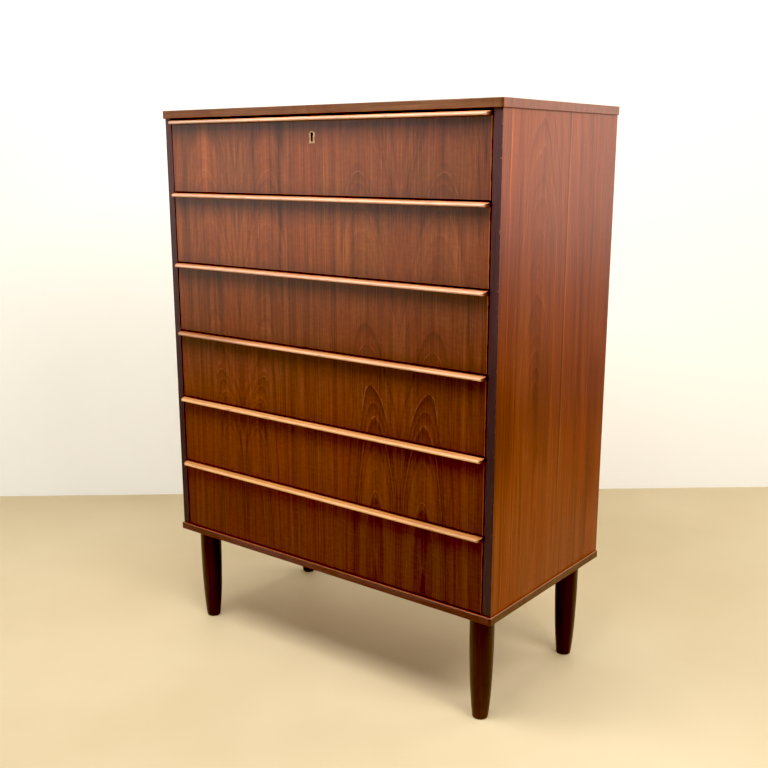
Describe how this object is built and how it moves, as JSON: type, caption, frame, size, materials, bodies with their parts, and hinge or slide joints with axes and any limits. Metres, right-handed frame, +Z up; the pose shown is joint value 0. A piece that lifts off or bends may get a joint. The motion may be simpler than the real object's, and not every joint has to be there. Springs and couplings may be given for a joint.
{
  "type": "tall chest of drawers",
  "caption": "Tall free-standing chest with a column of full-width drawers on side runners, lip pulls along their top edges, a lock in the top drawer and tapered turned legs.",
  "frame": {"origin": "on the floor, under the centre of the chest's outline, which runs from the noses of the lip pulls to the back edge of the top", "axes": "+Z up, +X to the right as seen from the front, the front faces -Y"},
  "size_m": [0.8, 0.419, 1.096],
  "materials": {
    "drawer_front_veneer": "satin oiled teak veneer",
    "case_veneer": "satin oiled teak veneer",
    "edging": "satin dark teak edging",
    "lip_pull_wood": "satin worn solid teak",
    "leg_wood": "satin dark stained turned wood",
    "drawer_box_wood": "lightly sealed beech",
    "drawer_bottom_ply": "bare birch plywood",
    "back_ply": "bare plywood",
    "runner_wood": "bare beech",
    "dowel_wood": "bare beech",
    "steel": "plain zinc-coated steel",
    "brass": "aged brass"
  },
  "bodies": {
    "case": {"back_panel": "back_ply", "back_panel_screws": "steel", "bottom_panel": "case_veneer", "case_dowels": "dowel_wood", "left_drawer_runners": "runner_wood", "left_front_edging": "edging", "left_side_panel": "case_veneer", "leg_back_left": "leg_wood", "leg_back_right": "leg_wood", "leg_front_left": "leg_wood", "leg_front_right": "leg_wood", "leg_studs": "steel", "leg_tee_nuts": "steel", "right_drawer_runners": "runner_wood", "right_front_edging": "edging", "right_side_panel": "case_veneer", "runner_screws": "steel", "top_panel": "case_veneer"},
    "drawer_1": {"drawer_1_back": "drawer_box_wood", "drawer_1_bottom": "drawer_bottom_ply", "drawer_1_front": "drawer_front_veneer", "drawer_1_left_side": "drawer_box_wood", "drawer_1_lip_pull": "lip_pull_wood", "drawer_1_right_side": "drawer_box_wood", "keyhole_escutcheon": "brass", "lock_case": "steel", "lock_screws": "brass"},
    "drawer_2": {"drawer_2_back": "drawer_box_wood", "drawer_2_bottom": "drawer_bottom_ply", "drawer_2_front": "drawer_front_veneer", "drawer_2_left_side": "drawer_box_wood", "drawer_2_lip_pull": "lip_pull_wood", "drawer_2_right_side": "drawer_box_wood"},
    "drawer_3": {"drawer_3_back": "drawer_box_wood", "drawer_3_bottom": "drawer_bottom_ply", "drawer_3_front": "drawer_front_veneer", "drawer_3_left_side": "drawer_box_wood", "drawer_3_lip_pull": "lip_pull_wood", "drawer_3_right_side": "drawer_box_wood"},
    "drawer_4": {"drawer_4_back": "drawer_box_wood", "drawer_4_bottom": "drawer_bottom_ply", "drawer_4_front": "drawer_front_veneer", "drawer_4_left_side": "drawer_box_wood", "drawer_4_lip_pull": "lip_pull_wood", "drawer_4_right_side": "drawer_box_wood"},
    "drawer_5": {"drawer_5_back": "drawer_box_wood", "drawer_5_bottom": "drawer_bottom_ply", "drawer_5_front": "drawer_front_veneer", "drawer_5_left_side": "drawer_box_wood", "drawer_5_lip_pull": "lip_pull_wood", "drawer_5_right_side": "drawer_box_wood"},
    "drawer_6": {"drawer_6_back": "drawer_box_wood", "drawer_6_bottom": "drawer_bottom_ply", "drawer_6_front": "drawer_front_veneer", "drawer_6_left_side": "drawer_box_wood", "drawer_6_lip_pull": "lip_pull_wood", "drawer_6_right_side": "drawer_box_wood"},
    "lock_bolt": {"lock_bolt": "brass"}
  },
  "joints": [
    {"name": "drawer_1_slide", "type": "slide", "parent": "case", "child": "drawer_1", "axis": [0, -1, 0], "range_m": [0, 0.28]},
    {"name": "drawer_2_slide", "type": "slide", "parent": "case", "child": "drawer_2", "axis": [0, -1, 0], "range_m": [0, 0.28]},
    {"name": "drawer_3_slide", "type": "slide", "parent": "case", "child": "drawer_3", "axis": [0, -1, 0], "range_m": [0, 0.28]},
    {"name": "drawer_4_slide", "type": "slide", "parent": "case", "child": "drawer_4", "axis": [0, -1, 0], "range_m": [0, 0.28]},
    {"name": "drawer_5_slide", "type": "slide", "parent": "case", "child": "drawer_5", "axis": [0, -1, 0], "range_m": [0, 0.28]},
    {"name": "drawer_6_slide", "type": "slide", "parent": "case", "child": "drawer_6", "axis": [0, -1, 0], "range_m": [0, 0.28]},
    {"name": "lock_bolt_lift", "type": "slide", "parent": "drawer_1", "child": "lock_bolt", "axis": [0, 0, 1], "range_m": [0, 0.009]}
  ]
}
